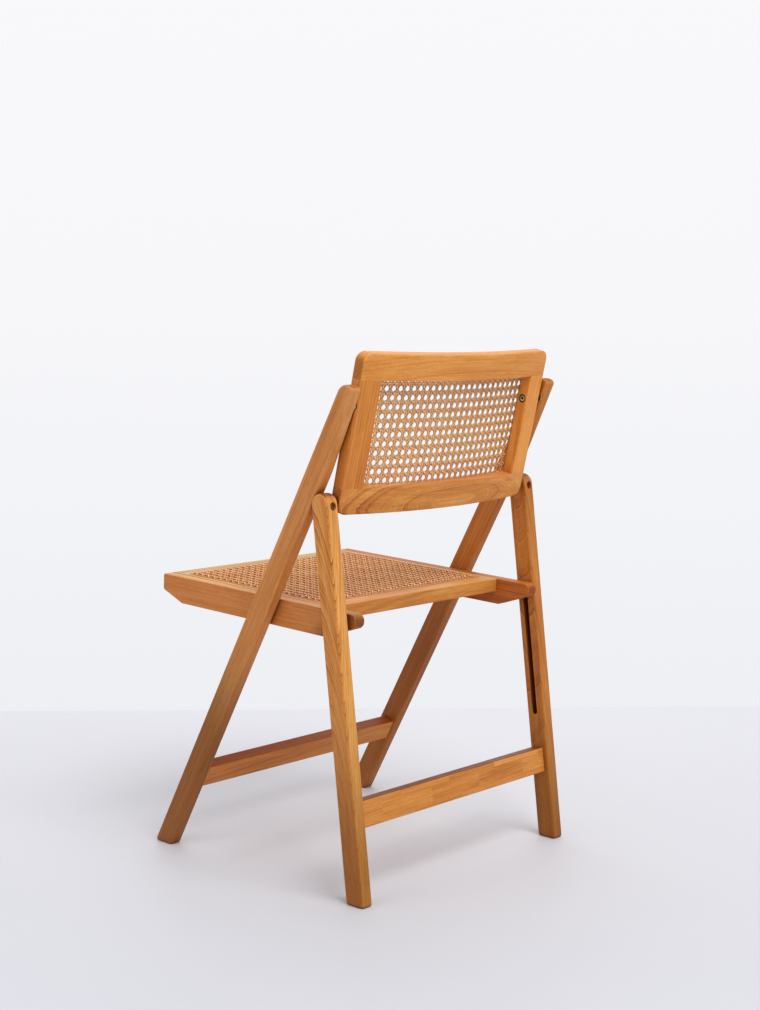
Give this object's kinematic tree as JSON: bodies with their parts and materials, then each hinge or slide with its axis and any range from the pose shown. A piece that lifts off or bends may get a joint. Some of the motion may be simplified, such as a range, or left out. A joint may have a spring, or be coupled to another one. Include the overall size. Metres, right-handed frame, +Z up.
{
  "type": "folding side chair",
  "caption": "Folding chair in teak with crossed leg frames, a cane seat that tips up between the legs and a bowed cane backrest; no arms.",
  "frame": {"origin": "on the floor, at the middle of the footprint, with the chair open", "axes": "+X is the sitter's left, the sitter faces -Y, +Z is up"},
  "size_m": [0.4532, 0.4397, 0.7492],
  "materials": {
    "leg_teak": "oiled teak, honey to orange brown, straight grain with some cathedral figure",
    "back_teak": "oiled teak, grain along each member",
    "seat_teak": "oiled teak, grain along each member",
    "cane": "natural split cane with a light lacquer",
    "cane_spline": "reed spline, glued into the groove",
    "beech_dowel": "plain beech",
    "steel": "zinc plated steel",
    "brass": "plain brass"
  },
  "bodies": {
    "front_frame": {"front_leg_left": "leg_teak", "front_leg_right": "leg_teak", "front_stretcher": "leg_teak", "front_stretcher_dowels": "beech_dowel", "back_pivot_inserts": "brass", "seat_pivot_inserts": "brass", "back_pivot_bolts": "steel", "seat_pivot_bolts": "steel"},
    "backrest": {"back_top_rail": "back_teak", "back_bottom_rail": "back_teak", "back_stile_left": "back_teak", "back_stile_right": "back_teak", "back_frame_dowels": "beech_dowel", "back_cane": "cane", "back_cane_spline": "cane_spline", "back_pivot_spacers": "steel", "rear_pivot_studs": "steel", "rear_pivot_spacers": "steel"},
    "rear_frame": {"rear_leg_left": "leg_teak", "rear_leg_right": "leg_teak", "rear_stretcher": "leg_teak", "rear_stretcher_dowels": "beech_dowel", "rear_barrel_nuts": "steel"},
    "seat": {"seat_side_board_left": "seat_teak", "seat_side_board_right": "seat_teak", "seat_front_bar": "seat_teak", "seat_rear_bar": "seat_teak", "seat_cleat_left": "seat_teak", "seat_cleat_right": "seat_teak", "seat_frame_dowels": "beech_dowel", "seat_cane": "cane", "seat_cane_spline": "cane_spline", "seat_pivot_washers": "steel"},
    "slot_pins": {"slot_pins": "steel"}
  },
  "joints": [
    {"name": "back_tilt", "type": "hinge", "parent": "front_frame", "child": "backrest", "pos_m": [0, 0.16969, 0.67543], "axis": [1, 0, 0], "range_deg": [0, 1.5]},
    {"name": "fold", "type": "hinge", "parent": "backrest", "child": "rear_frame", "pos_m": [0, 0.13126, 0.53805], "axis": [-1, 0, 0], "range_deg": [0, 37.33]},
    {"name": "seat_tip", "type": "hinge", "parent": "front_frame", "child": "seat", "pos_m": [0, 0.00848, 0.38015], "axis": [-1, 0, 0], "range_deg": [0, 103.39]},
    {"name": "pin_travel", "type": "slide", "parent": "rear_frame", "child": "slot_pins", "axis": [0, 0.1347, -0.9909], "range_m": [0, 0.17654]}
  ],
  "couplings": [
    {"joint": "back_tilt", "follows": "fold", "ratio": 0.040182},
    {"joint": "seat_tip", "follows": "fold", "ratio": 2.7694},
    {"joint": "pin_travel", "follows": "fold", "m_per_rad": 0.27095}
  ]
}
